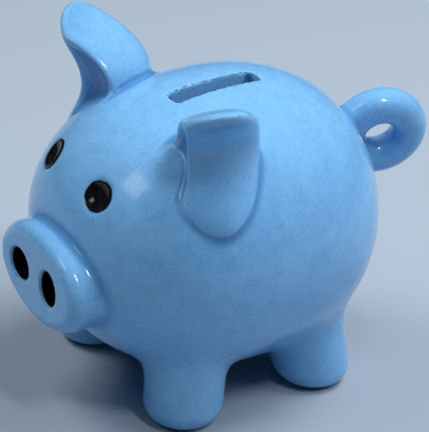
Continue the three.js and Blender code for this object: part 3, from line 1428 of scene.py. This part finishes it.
        def level(points: np.ndarray) -> np.ndarray:
            """Gives the level of the lining.

            Args:
                points: Places, one row each.

            Returns:
                One level for each place.
            """
            beside = -side.value * (points[:, 0] - snout.centre[0])
            hollow = snout.nostril(points, -snout.lining)
            cup = cut(snout.nostril(points, self.lining_sink), hollow, self.lining_edge)
            lip = snout.centre[1] + self.lining_start - points[:, 1]
            return np.maximum(np.maximum(cup, lip), beside)

        centre = node_centre(f"nostril_{side.word}")
        width, height = snout.nostrils[side]
        half = np.array([width, 0, height]) / 2 + SPARE
        low, high = centre - half, centre + half
        low[1], high[1] = snout.centre[1], snout.centre[1] + snout.nostril_depth + SPARE
        shape = Net(self.lining_cell).shape(level, low, high)
        name = f"nostril_lining_{side.word}"
        piece = finished(name, shape, [self.finishes.black], self.opened, level)
        declare(piece, BODY, "black_glaze", f"nostril_{side.word}")


class Tree:
    """A node tree that makes geometry, with named size inputs."""

    def __init__(self, name: str, sizes: dict[str, float], counts: dict[str, int]) -> None:
        """Starts the tree.

        Args:
            name: Name of the tree.
            sizes: Length inputs and their values, in metres.
            counts: Whole-number inputs and their values.
        """
        self.group = bpy.data.node_groups.new(name, "GeometryNodeTree")
        face = self.group.interface
        face.new_socket("Geometry", in_out="OUTPUT", socket_type="NodeSocketGeometry")
        self.values: dict[str, object] = {}
        for label, value in {**sizes, **counts}.items():
            kind = "NodeSocketInt" if label in counts else "NodeSocketFloat"
            socket = face.new_socket(label, in_out="INPUT", socket_type=kind)
            self.values[socket.identifier] = value
        socket = face.new_socket("Material", in_out="INPUT", socket_type="NodeSocketMaterial")
        self.material_input = socket.identifier
        self.inputs = self.group.nodes.new("NodeGroupInput").outputs

    def node(self, kind: str, links: dict[str, object], **settings: object) -> bpy.types.Node:
        """Adds a node.

        Args:
            kind: Type of the node.
            links: Input names with the sockets or values they take.
            settings: Properties of the node.

        Returns:
            The node.
        """
        made = self.group.nodes.new(kind)
        for key, value in settings.items():
            setattr(made, key, value)
        for key, value in links.items():
            if isinstance(value, bpy.types.NodeSocket):
                self.group.links.new(value, made.inputs[key])
            else:
                made.inputs[key].default_value = value
        return made

    def finish_row(self, piece: bpy.types.NodeSocket, step: bpy.types.NodeSocket) -> None:
        """Ends the tree: a piece is repeated along a line, as real geometry with its material.

        Args:
            piece: Geometry of one piece.
            step: Offset from one piece to the next.
        """
        line = self.node("GeometryNodeMeshLine", {"Count": self.inputs["Count"], "Offset": step})
        links = {"Points": line.outputs["Mesh"], "Instance": piece}
        row = self.node("GeometryNodeInstanceOnPoints", links)
        real = self.node("GeometryNodeRealizeInstances", {"Geometry": row.outputs["Instances"]})
        smooth = self.node("GeometryNodeSetShadeSmooth", {"Geometry": real.outputs[0]})
        links = {"Geometry": smooth.outputs[0], "Material": self.inputs["Material"]}
        dressed = self.node("GeometryNodeSetMaterial", links)
        out = self.group.nodes.new("NodeGroupOutput")
        self.group.links.new(dressed.outputs[0], out.inputs[0])

    def mesh(self, name: str, material: bpy.types.Material) -> bpy.types.Mesh:
        """Runs the tree.

        Args:
            name: Name of the mesh.
            material: Its material.

        Returns:
            The result, as a plain mesh.
        """
        holder = bpy.data.objects.new(name, bpy.data.meshes.new(name))
        bpy.context.scene.collection.objects.link(holder)
        modifier = holder.modifiers.new(name, "NODES")
        modifier.node_group = self.group
        for identifier, value in self.values.items():
            modifier[identifier] = value
        modifier[self.material_input] = material
        graph = bpy.context.evaluated_depsgraph_get()
        graph.update()
        made = bpy.data.meshes.new_from_object(holder.evaluated_get(graph), depsgraph=graph)
        bpy.data.objects.remove(holder)
        return made


@dataclass
class Stopper:
    """Soft plug in the belly hole: flange, cup with ribs, and a pull tab with ridges.

    Sizes are in millimetres. The rib start is the lowest rib's height above the flange.
    """

    finishes: Finishes
    flange_thickness: float = 2.0
    flange_edge: float = 0.7
    groove_radii: tuple[float, float, float, float] = (9.0, 9.6, 10.4, 11.0)
    groove_depth: float = 0.35
    plug_radius: float = 13.1
    plug_taper: float = 0.8
    cup_wall: float = 2.0
    cup_floor: float = 1.0
    rib_count: int = 2
    rib_radius: float = 0.62
    rib_sink: float = 0.05
    rib_spacing: float = 2.9
    rib_start: float = 2.1
    tab_length: float = 14.0
    tab_thickness: float = 3.2
    tab_depth: float = 2.6
    tab_edge: float = 0.9
    ridge_count: int = 5
    ridge_spacing: float = 2.2
    ridge_width: float = 0.8
    ridge_height: float = 0.35
    sides: int = 96
    tab_cell: float = 0.35

    def __post_init__(self) -> None:
        """Places the plug by the frame."""
        low, high = node_box("stopper")
        self.centre = np.array([(low[0] + high[0]) / 2, (low[1] + high[1]) / 2, 0.0])
        self.flange_radius = (high[0] - low[0]) / 2
        self.base = low[2] + self.tab_depth
        self.top = high[2]
        self.seat = self.base + self.flange_thickness

    def profile(self) -> list[tuple[float, float]]:
        """Lists the plug's outline, from the middle of the flange to the floor of the cup.

        Returns:
            Radius and height pairs.
        """
        base, seat, top, edge = self.base, self.seat, self.top, self.flange_edge
        rim, plug, inner = self.flange_radius, self.plug_radius, self.plug_radius - self.cup_wall
        start, outer_foot, inner_foot, end = self.groove_radii
        groove = base + self.groove_depth
        outline = [(0.0, base), (start, base), (outer_foot, groove), (inner_foot, groove)]
        outline += [(end, base), (rim - edge, base)]
        steps = 5
        for step in range(1, steps + 1):
            angle = math.pi * (step / steps - 0.5)
            outline.append((rim - edge + edge * math.cos(angle), base + edge + edge * math.sin(angle)))
        outline += [(rim - 1.2, seat), (plug + 0.5, seat), (plug, seat + 0.5)]
        for step in range(steps + 1):
            share = step / steps
            outline.append((plug - self.plug_taper * share**2, seat + 0.6 + (top - seat - 1.4) * share))
        floor = seat + self.cup_floor
        outline += [(plug - 1.2, top - 0.2), (plug - 1.6, top)]
        outline += [(inner + 0.1, top), (inner - 0.3, top - 0.4)]
        outline += [(inner, floor + 0.8), (inner - 0.8, floor), (0.0, floor)]
        return outline

    def ribs(self) -> bpy.types.Mesh:
        """Makes the ribs: one ring, repeated up the plug.

        Returns:
            Their mesh.
        """
        sizes = {
            "Ring radius": (self.plug_radius - self.rib_sink) * MM,
            "Rib radius": self.rib_radius * MM,
            "Spacing": self.rib_spacing * MM,
        }
        tree = Tree("plug_ribs", sizes, {"Count": self.rib_count})
        circle = "GeometryNodeCurvePrimitiveCircle"
        ring = tree.node(circle, {"Resolution": 72, "Radius": tree.inputs["Ring radius"]})
        section = tree.node(circle, {"Resolution": 12, "Radius": tree.inputs["Rib radius"]})
        links = {"Curve": ring.outputs["Curve"], "Profile Curve": section.outputs["Curve"]}
        rib = tree.node("GeometryNodeCurveToMesh", links)
        step = tree.node("ShaderNodeCombineXYZ", {"Z": tree.inputs["Spacing"]})
        tree.finish_row(rib.outputs["Mesh"], step.outputs[0])
        return tree.mesh("plug_ribs", self.finishes.rubber)

    def ridges(self) -> bpy.types.Mesh:
        """Makes the grip ridges on both faces of the pull tab: one bar, repeated along it.

        Returns:
            Their mesh.
        """
        sizes = {
            "Width": self.ridge_width * MM,
            "Height": (self.tab_depth - self.tab_edge) * MM,
            "Depth": (self.tab_thickness + 2 * self.ridge_height) * MM,
            "Spacing": self.ridge_spacing * MM,
        }
        tree = Tree("tab_ridges", sizes, {"Count": self.ridge_count})
        edges = {"X": tree.inputs["Depth"], "Y": tree.inputs["Width"], "Z": tree.inputs["Height"]}
        size = tree.node("ShaderNodeCombineXYZ", edges)
        bar = tree.node("GeometryNodeMeshCube", {"Size": size.outputs[0]})
        step = tree.node("ShaderNodeCombineXYZ", {"Y": tree.inputs["Spacing"]})
        tree.finish_row(bar.outputs["Mesh"], step.outputs[0])
        return tree.mesh("tab_ridges", self.finishes.rubber)

    def tab(self, points: np.ndarray) -> np.ndarray:
        """Gives the level of the pull tab, a bar with round ends and a rounded edge.

        Args:
            points: Places, one row each.

        Returns:
            One level for each place.
        """
        x, y, z = (points - self.centre).T
        half = self.tab_thickness / 2
        reach = self.tab_length / 2 - half
        outline = np.hypot(x, y - np.clip(y, -reach, reach)) - half
        body = rounded(outline, self.base - self.tab_depth - z, self.tab_edge)
        root = 1.0
        return np.maximum(body, z - self.base - root)

    def build(self, outer: Level) -> None:
        """Makes the plug, its ribs and its tab.

        Args:
            outer: Level function of the pig's outer surface.
        """
        shape = turned(self.profile(), self.sides, self.centre)
        plug = finished("plug_cup", shape, [self.finishes.rubber], outer)
        declare(plug, PLUG, "stopper_rubber", "stopper")
        reach = np.array([self.tab_length / 2, self.tab_length / 2, 0])
        low = self.centre - reach + np.array([0, 0, self.base - self.tab_depth])
        high = self.centre + reach + np.array([0, 0, self.base + 1])
        shape = Net(self.tab_cell).shape(self.tab, low, high)
        tab = finished("pull_tab", shape, [self.finishes.rubber], outer)
        declare(tab, PLUG, "stopper_rubber")
        first_ridge = -self.ridge_spacing * (self.ridge_count - 1) / 2
        lifts = {
            "plug_ribs": (self.ribs(), np.array([0, 0, self.seat + self.rib_start])),
            "tab_ridges": (self.ridges(), np.array([0, first_ridge, self.base - self.tab_depth / 2])),
        }
        for name, (mesh, lift) in lifts.items():
            mesh.transform(Matrix.Translation(Vector((self.centre + lift) * MM)))
            piece = bpy.data.objects.new(name, mesh)
            bpy.context.scene.collection.objects.link(piece)
            declare(piece, PLUG, "stopper_rubber")
            LOG.info("%s: %d faces", name, len(mesh.polygons))


# ---- Studio ---------------------------------------------------------------------------------------


@dataclass
class Lamp:
    """One area light, aimed at the pig: angles in degrees, lengths in metres, power in watts."""

    name: str
    azimuth: float
    elevation: float
    distance: float
    size: float
    power: float
    colour: Colour = (1.0, 1.0, 1.0)
    mirrored: bool = True
    stretch: float = 1.0

    def build(self, target: np.ndarray) -> None:
        """Hangs the light.

        Args:
            target: The point it is aimed at, in metres.
        """
        data = bpy.data.lights.new(self.name, "AREA")
        data.shape = "RECTANGLE"
        data.size = self.size
        data.size_y = self.size * self.stretch
        data.energy = self.power
        data.color = self.colour
        lamp = bpy.data.objects.new(self.name, data)
        place = Vector(target) + direction(self.azimuth, self.elevation) * self.distance
        lamp.location = place
        lamp.rotation_euler = (place - Vector(target)).to_track_quat("Z", "Y").to_euler()
        lamp.visible_glossy = self.mirrored
        bpy.context.scene.collection.objects.link(lamp)


def direction(azimuth: float, elevation: float) -> Vector:
    """Gives the direction from the pig towards a viewer or a lamp.

    Args:
        azimuth: Degrees round from the front, towards the pig's left.
        elevation: Degrees above the horizon.

    Returns:
        A vector of length one.
    """
    turn, rise = math.radians(azimuth), math.radians(elevation)
    flat = math.cos(rise)
    return Vector((math.sin(turn) * flat, -math.cos(turn) * flat, math.sin(rise)))


@dataclass
class Studio:
    """Pale floor, soft lights and the camera. Angles are in degrees.

    The camera's distance and the floor's half size are in metres, the aims in millimetres.
    """

    azimuth: float = 56.0
    elevation: float = 28.0
    roll: float = 3.0
    distance: float = 0.600
    lens: float = 161.7
    aim_height: float = 50.0
    aim_right: float = 2.9
    aim_up: float = 0.3
    floor: Colour = (0.33, 0.41, 0.50)
    floor_half: float = 3.0
    sky: Colour = (0.55, 0.78, 1.0)
    sky_strength: float = 0.05

    def build(self, centre: Sequence[float]) -> None:
        """Sets up the floor, lights and camera.

        Args:
            centre: Middle of the pig's body, in millimetres.
        """
        base = np.array([centre[0], centre[1], self.aim_height]) * MM
        self._floor()
        self._world()
        self._camera(base)
        bpy.context.scene.view_settings.view_transform = "Standard"
        for lamp in (
            Lamp("back_softbox", 170, 64, 1.1, 0.55, 10.2, (1.0, 0.96, 0.96), mirrored=False),
            Lamp("side_softbox", 142, 38, 1.1, 0.45, 2.7, (1.0, 0.95, 0.93), mirrored=False),
            Lamp("front_softbox", -50, 55, 1.1, 0.45, 5.6, (1.0, 0.95, 0.90), mirrored=False),
            Lamp("window", -8, 50, 1.3, 0.34, 1.35),
            Lamp("key", 96, 59, 1.3, 0.11, 3.6, stretch=2.4),
        ):
            lamp.build(base)

    def _floor(self) -> None:
        """Lays the pale floor."""
        size = self.floor_half
        mesh = bpy.data.meshes.new("floor")
        corners = [(-size, -size, 0), (size, -size, 0), (size, size, 0), (-size, size, 0)]
        mesh.from_pydata(corners, [], [(0, 1, 2, 3)])
        material = bpy.data.materials.new("floor")
        material.use_nodes = True
        shader = material.node_tree.nodes["Principled BSDF"]
        shader.inputs["Base Color"].default_value = (*self.floor, 1.0)
        shader.inputs["Roughness"].default_value = 0.9
        shader.inputs["Specular IOR Level"].default_value = 0.1
        mesh.materials.append(material)
        floor = bpy.data.objects.new("floor", mesh)
        bpy.context.scene.collection.objects.link(floor)

    def _world(self) -> None:
        """Sets an even pale surrounding."""
        world = bpy.data.worlds.new("studio")
        world.use_nodes = True
        back = world.node_tree.nodes["Background"]
        back.inputs["Color"].default_value = (*self.sky, 1.0)
        back.inputs["Strength"].default_value = self.sky_strength
        bpy.context.scene.world = world

    def _camera(self, base: np.ndarray) -> None:
        """Places the camera.

        Args:
            base: The point that the view is set out from, in metres.
        """
        back = direction(self.azimuth, self.elevation)
        turn = math.radians(self.azimuth)
        right = Vector((math.cos(turn), math.sin(turn), 0))
        up = back.cross(right)
        target = Vector(base) + (right * self.aim_right + up * self.aim_up) * MM
        tilt = math.radians(self.roll)
        rolled_right = right * math.cos(tilt) + up * math.sin(tilt)
        rolled_up = up * math.cos(tilt) - right * math.sin(tilt)
        data = bpy.data.cameras.new("camera")
        data.lens = self.lens
        data.clip_start = 0.01
        camera = bpy.data.objects.new("camera", data)
        axes = Matrix((rolled_right, rolled_up, back)).transposed().to_4x4()
        camera.matrix_world = Matrix.Translation(target + back * self.distance) @ axes
        bpy.context.scene.collection.objects.link(camera)
        bpy.context.scene.camera = camera


def main() -> None:
    """Builds the bank and the studio round it."""
    finishes = Finishes()
    pig = Pig(finishes)
    Studio().build(pig.ovoid.centre)
    pig.build()
    Stopper(finishes).build(pig.opened)


if __name__ == "__main__":
    main()
